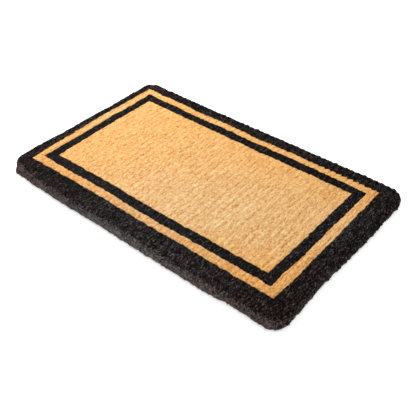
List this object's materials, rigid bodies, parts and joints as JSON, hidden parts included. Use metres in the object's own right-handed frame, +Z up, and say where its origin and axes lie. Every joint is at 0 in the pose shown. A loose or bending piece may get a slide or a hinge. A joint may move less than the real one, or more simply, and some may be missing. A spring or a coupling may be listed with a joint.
{
  "type": "door mat",
  "caption": "Thick rectangular hand-woven coir door mat with a cut pile in a frame pattern, standing on a woven yarn base with lashed edge cords.",
  "frame": {"origin": "centre of the underside, at floor level", "axes": "+X along the mat's length, +Y along its width towards the far long side, +Z up through the pile"},
  "size_m": [0.914, 0.584, 0.038],
  "materials": {
    "black_coir": "matte cut pile",
    "natural_coir": "matte cut pile",
    "base_yarn": "twisted coir yarn",
    "lash_yarn": "twisted coir yarn, pulled tight"
  },
  "bodies": {
    "root": {"field_pile": "natural_coir", "inner_stripe_front": "black_coir", "inner_stripe_back": "black_coir", "inner_stripe_left": "black_coir", "inner_stripe_right": "black_coir", "outer_stripe_front": "natural_coir", "outer_stripe_back": "natural_coir", "outer_stripe_left": "natural_coir", "outer_stripe_right": "natural_coir", "border_front": "black_coir", "border_back": "black_coir", "border_left": "black_coir", "border_right": "black_coir", "chain_lower": "base_yarn", "chain_upper": "base_yarn", "weft_yarns": "base_yarn", "selvedge_front": "base_yarn", "selvedge_back": "base_yarn", "end_cord_left": "base_yarn", "end_cord_right": "base_yarn", "lashing_front": "lash_yarn", "lashing_back": "lash_yarn", "lashing_left": "lash_yarn", "lashing_right": "lash_yarn"}
  },
  "joints": []
}
